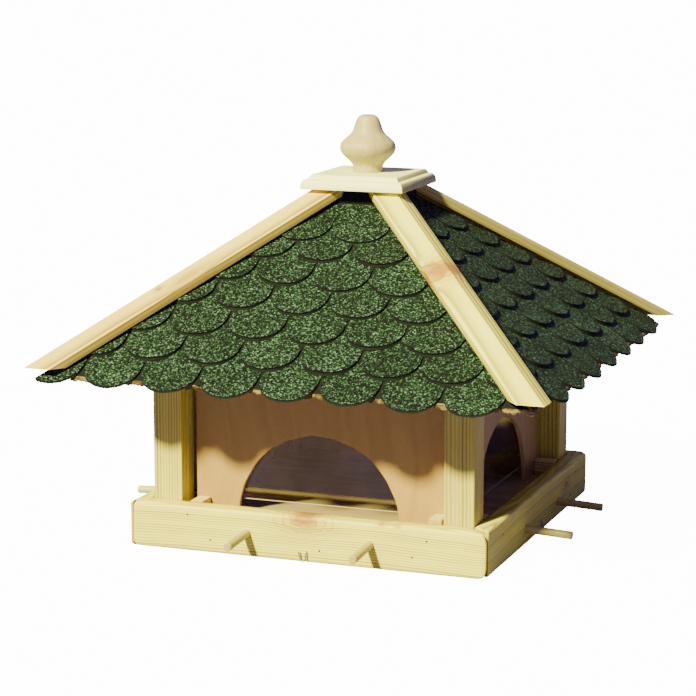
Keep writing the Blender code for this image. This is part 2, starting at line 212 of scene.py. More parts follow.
def wood(name, origin, along, across, seed=0, light=PINE["light"], warm=PINE["warm"], late=PINE["late"],
         spacing=0.0030, pith=(0.030, 0.045), contrast=0.55, knots=(), end=0.55, fibre=0.10,
         waver=0.0016, cathedral=0.0):
    """Sawn softwood: growth rings round a pith line along the board, with fibres, knots and end grain.

    spacing is the width of a year's ring, and pith says how far the pith lies from the face, across and
    through. Each knot is (place along, place across, length, width, strength).
    """
    t = Tree(name)
    along, across = Vector(along).normalized(), Vector(across).normalized()
    rel, a, b, c = t.board(origin, along, across)
    shift = 7.3 * (seed + 1)
    slow = t.combine(t.math("MULTIPLY_ADD", a, 5.0, shift), t.times(b, 14.0), t.times(c, 14.0))
    drift = t.math("SUBTRACT", t.noise(slow, 1.0, 2.0, 0.5), 0.5)
    b_field = t.plus(b, t.times(drift, waver * 9))
    knot_mask, knot_core, knot_line = None, None, None
    for place, side, length, width, strength in knots:
        da = t.math("DIVIDE", t.math("SUBTRACT", a, place), length)
        db = t.math("DIVIDE", t.math("SUBTRACT", b, side), width)
        d2 = t.plus(t.times(da, da), t.times(db, db))
        bell = t.math("EXPONENT", t.times(d2, -1.0))
        pull = t.times(t.math("SUBTRACT", b_field, side), t.times(bell, 0.75))
        b_field = t.math("SUBTRACT", b_field, pull)
        mask = t.times(bell, strength)
        knot_mask = mask if knot_mask is None else t.math("MAXIMUM", knot_mask, mask)
        distance = t.math("SQRT", d2)
        core = t.times(t.span(distance, 0.62, 0.34), strength)
        knot_core = core if knot_core is None else t.math("MAXIMUM", knot_core, core)
        stray = t.noise(rel, 130.0, 2.0, 0.5)
        step = t.math("FRACT", t.plus(t.times(distance, 2.9), t.times(stray, 2.2)))
        line = t.ramp(step, [(0.0, grey(0.0)), (0.45, grey(0.10)), (0.80, grey(1.0)), (0.95, grey(0.5)),
                             (1.0, grey(0.0))])
        line = t.times(line, t.times(t.span(d2, 3.4, 0.3), strength))
        knot_line = line if knot_line is None else t.math("MAXIMUM", knot_line, line)
    x = t.plus(t.plus(b_field, pith[0]), t.times(t.times(a, a), cathedral))
    y = t.plus(c, pith[1])
    radius = t.math("SQRT", t.plus(t.times(x, x), t.times(y, y)))
    phase = t.plus(t.math("DIVIDE", radius, spacing), shift)
    ring = t.math("FRACT", phase)
    year = t.add("ShaderNodeTexWhiteNoise", {"W": t.math("FLOOR", phase)}, noise_dimensions="1D").outputs[0]
    latewood = t.ramp(ring, [(0.0, grey(0.45)), (0.07, grey(0.0)), (0.40, grey(0.10)), (0.68, grey(0.50)),
                             (0.90, grey(1.0)), (1.0, grey(0.45))])
    latewood = t.times(latewood, t.math("MULTIPLY_ADD", year, 0.7, 0.3))
    fibres = t.combine(t.math("MULTIPLY_ADD", a, 26.0, shift), t.times(b_field, 1300.0), t.times(c, 1300.0))
    fine = t.noise(fibres, 1.0, 3.0, 0.6)
    coarse = t.combine(t.times(a, 9.0), t.times(b_field, 170.0), t.times(c, 170.0))
    streak = t.noise(coarse, 1.0, 2.0, 0.55)
    blotch = t.noise(rel, 16.0, 3.0, 0.55)
    patches = t.plus(t.times(blotch, 0.6), t.times(streak, 0.4))
    base = t.mix(t.span(patches, 0.36, 0.64), (*light, 1.0), (*warm, 1.0))
    colour = t.mix(t.times(latewood, contrast), base, (*late, 1.0))
    threads = t.plus(t.times(fine, 0.6), t.times(streak, 0.4))
    shade = t.span(threads, 0.3, 0.7, 1.0 - fibre, 1.0)
    colour = t.tint(colour, shade)
    if knot_mask is not None:
        rings = t.noise(t.combine(t.times(a, 120.0), t.times(b_field, 1500.0), 0.0), 1.0, 3.0, 0.6)
        tone = t.times(knot_mask, t.span(rings, 0.25, 0.75, 0.5, 1.0))
        colour = t.mix(t.times(tone, 0.90), colour, (0.50, 0.22, 0.030, 1.0))
        colour = t.mix(t.times(knot_core, 0.8, clamp=True), colour, KNOT)
        colour = t.mix(t.times(knot_line, 0.50), colour, (0.20, 0.10, 0.015, 1.0))
    facing = t.math("ABSOLUTE", t.vector("DOT_PRODUCT", t.normal(), tuple(along)))
    end_mask = t.span(facing, 0.60, 0.80)
    pores = t.span(t.noise(rel, 900.0, 2.0, 0.6), 0.35, 0.65, 0.55, 1.0)
    early = (*(end * v for v in warm), 1.0)
    end_colour = t.mix(t.times(latewood, 0.8), early, (0.30, 0.17, 0.05, 1.0))
    colour = t.mix(end_mask, colour, t.tint(end_colour, pores))
    height = t.math("SUBTRACT", t.times(fine, 0.7), t.times(latewood, 0.5))
    gloss = t.span(t.plus(latewood, fine), 0.2, 1.4, 0.62, 0.48)
    return t.surface(colour, gloss, height, 0.25, 0.0003, Specular_IOR_Level=0.35)


def plywood(name, origin, along, across, seed=0, light=(0.41, 0.255, 0.060), dark=(0.35, 0.205, 0.048)):
    """Sanded light plywood: a quiet rotary-cut face, and plies on its cut edges."""
    t = Tree(name)
    along, across = Vector(along).normalized(), Vector(across).normalized()
    _, a, b, c = t.board(origin, along, across)
    wander = t.noise(t.combine(t.times(a, 5.0), t.times(b, 11.0), float(seed)), 1.0, 3.0, 0.5)
    bands = t.plus(t.times(b, 60.0), t.times(wander, 6.0))
    figure = t.noise(t.combine(t.times(a, 7.0), bands, float(seed)), 1.0, 3.0, 0.6)
    flecks = t.noise(t.combine(t.times(a, 260.0), t.times(b, 1900.0), 0.0), 1.0, 2.0, 0.6)
    colour = t.mix(t.span(figure, 0.3, 0.7), (*light, 1.0), (*dark, 1.0))
    colour = t.tint(colour, t.span(flecks, 0.3, 0.7, 0.88, 1.0))
    facing = t.math("ABSOLUTE", t.vector("DOT_PRODUCT", t.normal(), tuple(along.cross(across))))
    edge = t.span(facing, 0.75, 0.45)
    plies = t.math("FRACT", t.times(c, 610.0))
    ply_tone = t.ramp(plies, [(0.0, (0.30, 0.16, 0.05)), (0.08, (0.62, 0.42, 0.17)),
                              (0.48, (0.70, 0.50, 0.22)), (0.54, (0.40, 0.23, 0.08)),
                              (1.0, (0.46, 0.28, 0.10))])
    colour = t.mix(edge, colour, ply_tone)
    rough = t.span(figure, 0.2, 0.8, 0.52, 0.64)
    return t.surface(colour, rough, flecks, 0.12, 0.0002, Specular_IOR_Level=0.3)


def beech(name, origin, axis, light, dark, end=0.8):
    """Fine, even hardwood with short flecks, along the axis of a turned piece."""
    t = Tree(name)
    axis = Vector(axis).normalized()
    _, a, b, c = t.board(origin, axis, axis.orthogonal().normalized())
    rings = t.noise(t.combine(t.times(a, 6.0), t.times(b, 210.0), t.times(c, 60.0)),
                    1.0, 3.0, 0.6, 0.3)
    flecks = t.noise(t.combine(t.times(a, 420.0), t.times(b, 2600.0), t.times(c, 2600.0)),
                     1.0, 2.0, 0.5)
    colour = t.mix(t.span(rings, 0.3, 0.7), (*light, 1.0), (*dark, 1.0))
    colour = t.tint(colour, t.span(flecks, 0.35, 0.7, 1.0, 0.86))
    facing = t.math("ABSOLUTE", t.vector("DOT_PRODUCT", t.normal(), tuple(axis)))
    cut = t.tint(colour, grey(end))
    colour = t.mix(t.span(facing, 0.85, 0.95), colour, cut)
    rough = t.span(rings, 0.2, 0.8, 0.44, 0.56)
    return t.surface(colour, rough, flecks, 0.12, 0.0002, Specular_IOR_Level=0.35)


def granules(name, seed=0, depth=1.0):
    """Crushed slate pressed into bitumen: dark and pale green grains, dustier along the edge of each tab. The
    colour is darker between grains, partly the black bitumen and partly painted shade, and depth below 1
    darkens a whole slope as painted shade.
    """
    t = Tree(name)
    here = t.vector("ADD", t.point(), (0.37 * seed, 0.11 * seed, 0.0))
    grain = t.add("ShaderNodeTexVoronoi", {"Vector": here, "Scale": 680.0, "Randomness": 1.0})
    parts = t.add("ShaderNodeSeparateColor", {0: grain.outputs["Color"]})
    fleck, hue = parts.outputs[0], parts.outputs[1]
    clump = t.noise(here, 330.0, 2.0, 0.6)
    patch = t.noise(here, 22.0, 3.0, 0.5)
    edge = t.add("ShaderNodeAttribute", attribute_name="edge").outputs["Fac"]
    tone = t.add("ShaderNodeAttribute", attribute_name="tone").outputs["Fac"]
    mixed = t.plus(t.times(fleck, 0.60), t.times(t.span(clump, 0.25, 0.75), 0.40))
    mixed = t.plus(mixed, t.times(t.math("SUBTRACT", patch, 0.5), 0.20))
    mixed = t.plus(mixed, t.times(t.math("SUBTRACT", tone, 0.5), 0.07))
    colour = t.ramp(mixed, [(0.26, (0.0003, 0.0012, 0.0003)), (0.48, (0.0036, 0.0120, 0.0036)),
                            (0.62, (0.016, 0.049, 0.016)), (0.76, (0.060, 0.140, 0.072)),
                            (0.90, (0.150, 0.250, 0.175))])
    dusty = t.tint(colour, (1.20, 1.02, 1.35, 1.0))
    dust = t.plus(t.span(hue, 0.55, 0.95, 0.0, 0.8), t.times(edge, 0.9), clamp=True)
    colour = t.mix(dust, colour, dusty)
    # Painted shade: darker towards each grain's edge (partly black bitumen between grains), and the whole
    # colour scaled by depth, which is painted shade for a slope turned from the light.
    crevice_and_slope_shade = t.span(grain.outputs["Distance"], 0.30, 0.70, depth, 0.30 * depth)
    colour = t.tint(colour, crevice_and_slope_shade)
    height = t.plus(t.times(crevice_and_slope_shade, 0.6), t.times(fleck, 0.5))
    return t.surface(colour, t.span(fleck, 0.0, 1.0, 0.95, 0.70), height, 1.0, 0.0010, Specular_IOR_Level=0.2)


def bitumen(name, dark, light):
    """The cut edge and underside of a shingle, black with stray sand."""
    t = Tree(name)
    here = t.point()
    sand = t.noise(here, 700.0, 3.0, 0.6)
    colour = t.ramp(sand, [(0.40, dark), (0.66, light)])
    return t.surface(colour, t.span(sand, 0.3, 0.7, 0.75, 0.95), sand, 0.6, 0.0006, Specular_IOR_Level=0.2)


def rough_board(name, origin, along, across, light=(0.40, 0.30, 0.09), dark=(0.06, 0.032, 0.008), seed=0):
    """Rough-sawn sheathing with torn, darkened fibres."""
    t = Tree(name)
    along, across = Vector(along).normalized(), Vector(across).normalized()
    rel, a, b, c = t.board(origin, along, across)
    torn = t.combine(t.math("MULTIPLY_ADD", a, 60.0, 3.1 * seed), t.times(b, 420.0), t.times(c, 420.0))
    splinters = t.noise(torn, 1.0, 4.0, 0.65, 0.4)
    blotch = t.noise(rel, 40.0, 3.0, 0.6)
    mixed = t.plus(t.times(splinters, 0.65), t.times(blotch, 0.35))
    colour = t.mix(t.span(mixed, 0.47, 0.68), (*dark, 1.0), (*light, 1.0))
    rough = t.span(splinters, 0.2, 0.8, 0.7, 0.9)
    return t.surface(colour, rough, splinters, 0.7, 0.0009, Specular_IOR_Level=0.25)


def clear_sheet(name):
    """Clear acrylic seen through: a mirror-smooth coat over nothing, with faint handling haze."""
    t = Tree(name)
    here = t.point()
    haze = t.noise(here, 30.0, 4.0, 0.65)
    wipes = t.noise(t.vector("MULTIPLY", here, (60.0, 60.0, 900.0)), 1.0, 2.0, 0.5)
    smear = t.times(t.span(haze, 0.45, 0.80), t.span(wipes, 0.4, 0.8))
    clear = t.add("ShaderNodeBsdfTransparent", {0: (0.93, 0.95, 0.94, 1.0)})
    dust = t.add("ShaderNodeBsdfDiffuse", {0: (0.62, 0.60, 0.52, 1.0)})
    body = t.add("ShaderNodeMixShader", {0: t.times(smear, 0.006), 1: clear.outputs[0], 2: dust.outputs[0]})
    polish = t.span(haze, 0.3, 0.8, 0.01, 0.05)
    # Painted reflection colour: the orange tint on the gloss stands in for warm wood seen in the sheet; clear
    # acrylic reflects without colour.
    gloss = t.add("ShaderNodeBsdfGlossy", {0: (1.0, 0.76, 0.42, 1.0), "Roughness": polish})
    share = t.span(haze, 0.3, 0.8, 0.045, 0.075)
    both = t.add("ShaderNodeMixShader", {0: share, 1: body.outputs[0], 2: gloss.outputs[0]})
    return t.finish(both)


def frosted_edge(name):
    """The sawn edge of the acrylic: white scratches that gather light."""
    t = Tree(name)
    saw = t.noise(t.vector("MULTIPLY", t.point(), (700.0, 700.0, 700.0)), 1.0, 3.0, 0.6)
    colour = t.ramp(saw, [(0.3, (0.34, 0.29, 0.17)), (0.7, (0.62, 0.54, 0.33))])
    return t.surface(colour, t.span(saw, 0.3, 0.7, 0.25, 0.5), saw, 0.4, 0.0002, Specular_IOR_Level=0.6)


def zinc(name, colour=(0.55, 0.54, 0.47)):
    """Galvanised wire with a dull, mottled coat."""
    t = Tree(name)
    spots = t.noise(t.point(), 1400.0, 3.0, 0.6)
    shade = t.ramp(spots, [(0.35, tuple(0.55 * v for v in colour)), (0.7, colour)])
    return t.surface(shade, t.span(spots, 0.3, 0.7, 0.55, 0.3), spots, 0.3, 0.0002, Metallic=0.9)


def nail_steel(name):
    """A blackened brad head."""
    t = Tree(name)
    spots = t.noise(t.point(), 2500.0, 2.0, 0.6)
    shade = t.ramp(spots, [(0.3, (0.035, 0.028, 0.012)), (0.7, (0.11, 0.09, 0.035))])
    return t.surface(shade, t.span(spots, 0.3, 0.7, 0.7, 0.45), spots, 0.3, 0.0002, Metallic=0.4)


# ---------------------------------------------------------------- mesh helpers
def piece(name, bm, materials, body, replaced=(), smooth_angle=38):
    """An object made from bm, in the row frame, that rides on a body."""
    bmesh.ops.recalc_face_normals(bm, faces=bm.faces)
    mesh = bpy.data.meshes.new(name)
    bm.to_mesh(mesh)
    bm.free()
    obj = bpy.data.objects.new(name, mesh)
    bpy.context.scene.collection.objects.link(obj)
    for finish in materials:
        mesh.materials.append(finish)
    mesh.shade_smooth()
    mesh.set_sharp_from_angle(angle=math.radians(smooth_angle))
    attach(obj, body)
    if replaced:
        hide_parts(*replaced)
    return obj


def turn_mesh(bm, turn):
    bmesh.ops.rotate(bm, verts=bm.verts, cent=(0, 0, 0), matrix=Matrix.Rotation(math.radians(turn), 3, "Z"))


def grid_skin(bm, rows):
    """A closed skin: faces between closed rows of points with the same length, and one face at each end."""
    made = [[bm.verts.new(p) for p in row] for row in rows]
    count = len(made[0])
    for row, after in zip(made, made[1:]):
        for k in range(count):
            j = (k + 1) % count
            bm.faces.new((row[k], row[j], after[j], after[k]))
    bm.faces.new(made[0])
    bm.faces.new(made[-1])


def lathe(bm, profile, sides, place=Matrix.Identity(4)):
    """A solid of revolution about local Z, from (radius, height) points that start and end on the axis."""
    inner = [p for p in profile if p[0] > 1e-7]
    rings = []
    for radius, height in inner:
        angles = (2 * math.pi * k / sides for k in range(sides))
        points = (Vector((radius * math.cos(a), radius * math.sin(a), height)) for a in angles)
        rings.append([bm.verts.new(place @ point) for point in points])
    for ring, after in zip(rings, rings[1:]):
        for k in range(sides):
            bm.faces.new((ring[k], ring[(k + 1) % sides], after[(k + 1) % sides], after[k]))
    for ring, height in ((rings[0], profile[0][1]), (rings[-1], profile[-1][1])):
        tip = bm.verts.new(place @ Vector((0, 0, height)))
        for k in range(sides):
            bm.faces.new((ring[k], ring[(k + 1) % sides], tip))


def ripple(point, size, amount, seed=0.0):
    return noise.noise(Vector(point) / size + Vector((seed, 3.1 * seed, 0.7 * seed))) * amount


def arc(centre, radius, start, end, steps):
    angles = (math.radians(start + (end - start) * k / steps) for k in range(steps + 1))
    return [(centre[0] + radius * math.cos(a), centre[1] + radius * math.sin(a)) for a in angles]


# ---------------------------------------------------------------- tray rims
def rim_profile():
    """The section of a rim board as (y, z) on the front side, anticlockwise from the inner foot."""
    outer, inner = -TRAY, -TRAY + RIM_THICK
    points = [(inner, 0.0006), (inner - 0.0006, 0.0)]
    points += [(outer + 0.011, 0.0)]
    points += [(x, z) for x, z in arc((outer + 0.004, 0.004), 0.004, 270, 180, 5)]
    points += [(outer, 0.015), (outer, 0.026), (outer, 0.037)]
    points += [(x, z) for x, z in arc((outer + 0.005, RIM_TOP - 0.005), 0.005, 180, 90, 6)]
    points += [(outer + 0.011, RIM_TOP), (inner - 0.0012, RIM_TOP), (inner, RIM_TOP - 0.0012), (inner, 0.026)]
    return points


def make_rim(side, turn, finish, left, right):
    """left and right are the board's ends: (x on the outer face, x on the inner face, corner radius)."""
    bm = bmesh.new()
    profile = rim_profile()
    ends = [0.0, 0.0008, 0.002, 0.0035, 0.0055, 0.008]
    shares = [("l", e) for e in ends] + [("m", k / 40) for k in range(1, 40)]
    shares += [("r", e) for e in reversed(ends)]
    seed = 5.0 + turn / 90
    rows = []
    for kind, value in shares:
        row = []
        for y, z in profile:
            depth = (y + TRAY) / RIM_THICK
            low = left[0] + (left[1] - left[0]) * depth
            high = right[0] + (right[1] - right[0]) * depth
            if kind == "l":
                x, gap, radius = low + value, value, left[2]
            elif kind == "r":
                x, gap, radius = high - value, value, right[2]
            else:
                x, gap, radius = low + 0.008 + (high - low - 0.016) * value, 1.0, 0.001
            pinch = max(0.0, radius - gap)
            fall = radius - math.sqrt(max(0.0, radius * radius - pinch * pinch)) if gap < radius else 0.0
            z_new = z - fall if z > RIM_TOP * 0.6 else z + fall if z < RIM_TOP * 0.2 else z
            y_new = y + 0.35 * fall if y < -TRAY + 0.006 else y
            rough = ripple((x, y, z), 0.045, 0.00022, seed)
            y_new += max(0.0, rough) if y < -TRAY + 0.001 else 0.0
            z_new -= abs(ripple((x, y, z), 0.06, 0.0005, seed + 2)) if z > RIM_TOP * 0.9 else 0.0
            if kind in "lr" and value == 0.0:
                torn = 0.0012 if side == "right" and kind == "l" else 0.0004
                x += ripple((y, z * 3, 0), 0.004, torn, seed + 5)
            row.append((x, y_new, max(0.0, z_new)))
        rows.append(row)
    grid_skin(bm, rows)
    turn_mesh(bm, turn)
    return piece(f"rim_board_{side}", bm, [finish], "feeder", ["rim_" + side], 50)


RIM_ENDS = {
    "front": ((-0.1966, -0.1810, 0.0022), (0.1997, 0.1805, 0.0062)),
    "right": ((-0.1920, -0.1790, 0.0022), (0.1995, 0.1807, 0.0045)),
    "back": ((-0.1994, -0.1807, 0.0035), (0.1994, 0.1807, 0.0035)),
    "left": ((-0.1994, -0.1807, 0.0035), (0.1998, 0.1813, 0.0030)),
}
RIM_KNOTS = {
    "front": ((0.000, 0.0205, 0.0270, 0.0150, 1.0), (0.086, 0.0225, 0.006, 0.0022, 0.8),
              (0.104, 0.0215, 0.004, 0.002, 0.7)),
    "right": ((0.110, 0.004, 0.016, 0.007, 0.6),),
    "back": ((-0.090, 0.008, 0.014, 0.006, 0.7), (0.120, -0.010, 0.010, 0.005, 0.5)),
    "left": ((0.060, -0.006, 0.013, 0.006, 0.6),),
}
for index, (side, turn) in enumerate(SIDES.items()):
    finish = wood("rim_wood_" + side, turned((0, -TRAY, 0.026), turn), turned((1, 0, 0), turn), (0, 0, 1),
                  seed=index, spacing=0.0024, pith=(0.052, 0.030), contrast=0.95, knots=RIM_KNOTS[side],
                  waver=0.0011, cathedral=0.10, fibre=0.26)
    make_rim(side, turn, finish, *RIM_ENDS[side])


def make_nose():
    """The blunt end of the left rim board, showing past the front board's mitre."""
    bm = bmesh.new()
    y_front, y_back, x_out, x_in = -0.1997, -0.1890, -TRAY, -0.1970
    outline = [(x_out, y_back), (x_out, y_front + 0.0008), (x_out + 0.0008, y_front), (x_in, y_front),
               (x_in, y_back)]
    rows = []
    for k in range(33):
        z = RIM_TOP * k / 32
        pinch = max(0.0, 0.0035 - min(z, RIM_TOP - z))
        inset = 0.0035 - math.sqrt(max(0.0, 0.0035**2 - pinch**2))
        wobble = ripple((z, 0, 0), 0.003, 0.00035)
        rows.append([(x + (inset if x < -0.199 else 0.0), y + (inset + wobble if y < -0.198 else 0.0), z)
                     for x, y in outline])
    grid_skin(bm, rows)
    finish = wood("rim_nose_wood", (-TRAY, -TRAY, 0.0), (0, 1, 0), (0, 0, 1), seed=9, spacing=0.0021,
                  contrast=1.0, pith=(0.050, 0.020), end=0.75, warm=(0.85, 0.55, 0.14), waver=0.0008)
    return piece("rim_nose", bm, [finish], "feeder", smooth_angle=40)


make_nose()


# ---------------------------------------------------------------- brads
def brad(bm, place, direction, radius=0.00115):
    """A small domed head just proud of the wood."""
    facing = Vector(direction).to_track_quat("Z", "Y").to_matrix().to_4x4()
    profile = [(0, -0.0015), (radius, -0.0015), (radius * 1.02, 0.00002), (radius * 0.8, 0.00010),
               (radius * 0.4, 0.00006), (0, 0.00003)]
    lathe(bm, profile, 12, Matrix.Translation(Vector(place)) @ facing)


BRADS = {
    "front": ((-0.133, 0.040), (-0.107, 0.0144), (0.0175, 0.0140), (0.136, 0.0355), (0.120, 0.0170)),
    "right": ((0.150, 0.036), (0.128, 0.013), (-0.140, 0.034)),
    "back": ((-0.135, 0.038), (-0.110, 0.015), (0.132, 0.037), (0.112, 0.014)),
    "left": ((-0.138, 0.037), (-0.112, 0.016), (0.130, 0.039), (0.108, 0.015)),
}
head_finish = nail_steel("brad_steel")
for side, turn in SIDES.items():
    bm = bmesh.new()
    for x, z in BRADS[side]:
        brad(bm, (x, -TRAY - 0.00002, z), (0, -1, 0))
    turn_mesh(bm, turn)
    piece("brads_" + side, bm, [head_finish], "feeder")


# ---------------------------------------------------------------- perches and hooks
def perch_axis(node_name):
    """The two ends of a CAD perch's axis, from its own vertices: it leans out and down."""
    points = [v.co.copy() for v in nodes[node_name].data.vertices]
    centre = sum(points, Vector()) / len(points)
    across = Vector((math.copysign(1, centre.x), 0, 0))
    out = across if abs(centre.x) > abs(centre.y) else Vector((0, math.copysign(1, centre.y), 0))
    far = [p for p in points if (p - centre).dot(out) > 0]
    near = [p for p in points if (p - centre).dot(out) <= 0]
    return sum(near, Vector()) / len(near), sum(far, Vector()) / len(far)


for index, name in enumerate(sorted(n for n in nodes if n.startswith("perch_"))):
    near, far = perch_axis(name)
    axis = (far - near).normalized()
    length = (far - near).length
    place = Matrix.Translation(near) @ axis.to_track_quat("Z", "Y").to_matrix().to_4x4()
    profile = [(0.0, 0.0), (0.0044, 0.0)]
    for k in range(1, 24):
        profile.append((0.00442 + 0.00006 * math.sin(k * 1.7 + index), length * k / 24))
    profile += [(0.00445, length - 0.0008), (0.0039, length - 0.0001), (0.0030, length), (0.0, length)]
    bm = bmesh.new()
    lathe(bm, profile, 40, place)
    finish = beech(name + "_finish", near, axis, light=(0.60, 0.52, 0.15), dark=(0.46, 0.37, 0.09), end=0.75)
    piece("dowel" + name[5:], bm, [finish], "feeder", [name])

hook_finish = zinc("hook_zinc")
for side in SIDES:
    nodes["hook_" + side].data.materials.clear()
    nodes["hook_" + side].data.materials.append(hook_finish)


# ---------------------------------------------------------------- posts, rails, cleats, floor
def dress(node_name, finish):
    """Gives a CAD node that stays in view its finish."""
    nodes[node_name].data.materials.clear()
    nodes[node_name].data.materials.append(finish)


POST_RINGS = {"front_left": 0.0024, "front_right": 0.0030, "back_right": 0.0034, "back_left": 0.0028}
for index, corner in enumerate(CORNERS):
    low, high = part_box("post_" + corner)
    middle = (low + high) / 2
    tone = 0.80 if corner == "front_right" else 0.96
    finish = wood("post_wood_" + corner, middle, (0, 0, 1), (1, 0, 0), seed=20 + index,
                  spacing=POST_RINGS[corner], light=(0.76 * tone, 0.69 * tone, 0.08),
                  warm=(0.73 * tone, 0.57 * tone, 0.06),
                  late=(0.11, 0.075, 0.010), contrast=1.0,
                  pith=(0.055, 0.070), waver=0.0006, fibre=0.26, end=0.6)
    dress("post_" + corner, finish)
for index, (side, turn) in enumerate(SIDES.items()):
    low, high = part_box("top_rail_" + side)
    middle = (low + high) / 2
    dress("top_rail_" + side, wood("rail_wood_" + side, middle, turned((1, 0, 0), turn), (0, 0, 1),
                                   seed=30 + index, contrast=0.5, light=(0.74, 0.60, 0.17),
                                   warm=(0.70, 0.50, 0.15)))
    for k in "12":
        low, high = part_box(f"cleat_{side}_{k}")
        middle = (low + high) / 2
        finish = wood(f"cleat_wood_{side}_{k}", middle, turned((0, 1, 0), turn), (0, 0, 1),
                      seed=40 + 2 * index + int(k), spacing=0.0022, contrast=0.6, end=0.8,
                      light=(0.80, 0.68, 0.20), warm=(0.76, 0.56, 0.17), pith=(0.012, 0.02))
        dress(f"cleat_{side}_{k}", finish)
dress("floor_board", plywood("floor_ply", (0, 0, 0.03), (1, 0, 0), (0, 1, 0), 3,
                             light=(0.52, 0.37, 0.17), dark=(0.42, 0.27, 0.10)))
for end in ("front", "back"):
    low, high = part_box("floor_bearer_" + end)
    bearer = wood("bearer_wood_" + end, (low + high) / 2, (1, 0, 0), (0, 0, 1), seed=60 + len(end))
    dress("floor_bearer_" + end, bearer)
low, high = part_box("lid_collar")
dress("lid_collar", wood("collar_wood", (low + high) / 2, (1, 0, 0), (0, 1, 0), seed=71, contrast=0.5))
dress("finial_screw", zinc("screw_zinc", (0.62, 0.60, 0.50)))


# ---------------------------------------------------------------- arched panels and panes
def make_panel(side, turn, finish):
    """The plywood front of one side: its outline with a fine arch, eased edges and a trace of saw wobble."""
    half, face, thick = panel_high.x, panel_low.y, panel_high.y - panel_low.y
    foot, top = panel_low.z, panel_high.z
    outline = [(-half, foot), (-half, top), (half, top), (half, foot)]
    for k in range(73):
        angle = math.pi * k / 72
        radius = ARCH_RADIUS + 0.00035 * math.sin(9.0 * angle) + 0.0002 * math.sin(23.0 * angle + 1)
        outline.append((radius * math.cos(angle), foot + max(0.0, radius * math.sin(angle))))
    bm = bmesh.new()
    base = bm.faces.new([bm.verts.new((x, face, z)) for x, z in outline])
    grown = bmesh.ops.extrude_face_region(bm, geom=[base])["geom"]
    bmesh.ops.translate(bm, vec=(0, thick, 0), verts=[v for v in grown if isinstance(v, bmesh.types.BMVert)])
    sharp = [e for e in bm.edges
             if e.calc_face_angle(0.0) > math.radians(60) and abs(e.verts[0].co.y - e.verts[1].co.y) < 1e-6]
    bmesh.ops.bevel(bm, geom=sharp, offset=0.00035, segments=1, profile=0.5, affect="EDGES")
    turn_mesh(bm, turn)
    return piece("arch_front_" + side, bm, [finish], "feeder", ["arch_panel_" + side], 30)


def make_pane(side, turn, sheet, edge):
    """The acrylic sheet behind a panel, with sawn edges that catch the light."""
    bm = bmesh.new()
    low, high = pane_low, pane_high
    corners = [(x, z) for x, z in ((low.x, low.z), (high.x, low.z), (high.x, high.z), (low.x, high.z))]
    near = [bm.verts.new((x, low.y, z)) for x, z in corners]
    far = [bm.verts.new((x, high.y, z)) for x, z in corners]
    bm.faces.new(near)
    bm.faces.new(far)
    for k in range(4):
        j = (k + 1) % 4
        bm.faces.new((near[k], near[j], far[j], far[k])).material_index = 1 - k % 2
    bmesh.ops.bevel(bm, geom=[e for e in bm.edges if abs(e.verts[0].co.y - e.verts[1].co.y) < 1e-6
                              and abs(e.verts[0].co.z - e.verts[1].co.z) < 1e-6], offset=0.0003,
                    segments=1, profile=0.5, affect="EDGES", material=1)
    turn_mesh(bm, turn)
    replaced = ["window_pane_" + side]
    return piece("clear_pane_" + side, bm, [sheet, edge], "feeder", replaced, 30)


pane_sheet, pane_edge = clear_sheet("acrylic_sheet"), frosted_edge("acrylic_edge")
for index, (side, turn) in enumerate(SIDES.items()):
    middle = turned((0, panel_low.y, (panel_low.z + panel_high.z) / 2), turn)
    make_panel(side, turn, plywood("panel_ply_" + side, middle, (0, 0, 1), turned((1, 0, 0), turn), index))
    make_pane(side, turn, pane_sheet, pane_edge)


# ---------------------------------------------------------------- roof deck
def make_deck(side, turn, index):
    """Sheathing under the shingles, thinned and torn along its lower edge."""
    bm = bmesh.new()
    rng = random.Random(100 + index)
    count = 260
    rows = []
    chip = 0.0
    for k in range(count + 1):
        share = k / count * 2 - 1
        chip = chip * 0.6 + (rng.uniform(0.0, 0.0030) if rng.random() < 0.22 else 0.0)
        eave = DECK_EAVE - 0.0006 - chip * (0 < k < count)
        ragged = rng.uniform(-0.0006, 0.0004)
        outline = ((eave - 0.012, DECK_THICK), (eave - 0.0028 + ragged, 0.0052 + ragged),
                   (eave - 0.0006 + ragged, 0.0036 + ragged), (eave + ragged * 0.5, 0.0015),
                   (eave - 0.0004, 0.0), (FILL_HALF, 0.0), (FILL_HALF, DECK_THICK))
        rows.append([((min(r, DECK_EAVE) - GAP) * share, -r, on_slope(r, DECK_DROP + depth))
                     for r, depth in outline])
    grid_skin(bm, rows)
    turn_mesh(bm, turn)
    finish = rough_board("deck_board_" + side, turned((0, -0.15, 0.25), turn), turned((1, 0, 0), turn),
                         turned((0, -1, 0), turn), seed=index)
    return piece("sheathing_" + side, bm, [finish], "feeder", ["roof_deck_" + side], 30)


# ---------------------------------------------------------------- shingles
NORMAL_OUT = Vector((0.0, -math.sin(PITCH), math.cos(PITCH)))
SLOT = 0.0034
ROUND = 0.0240
SLOT_BACK = 0.0350
STRIP = 0.052
TAB_THICK = 0.0040

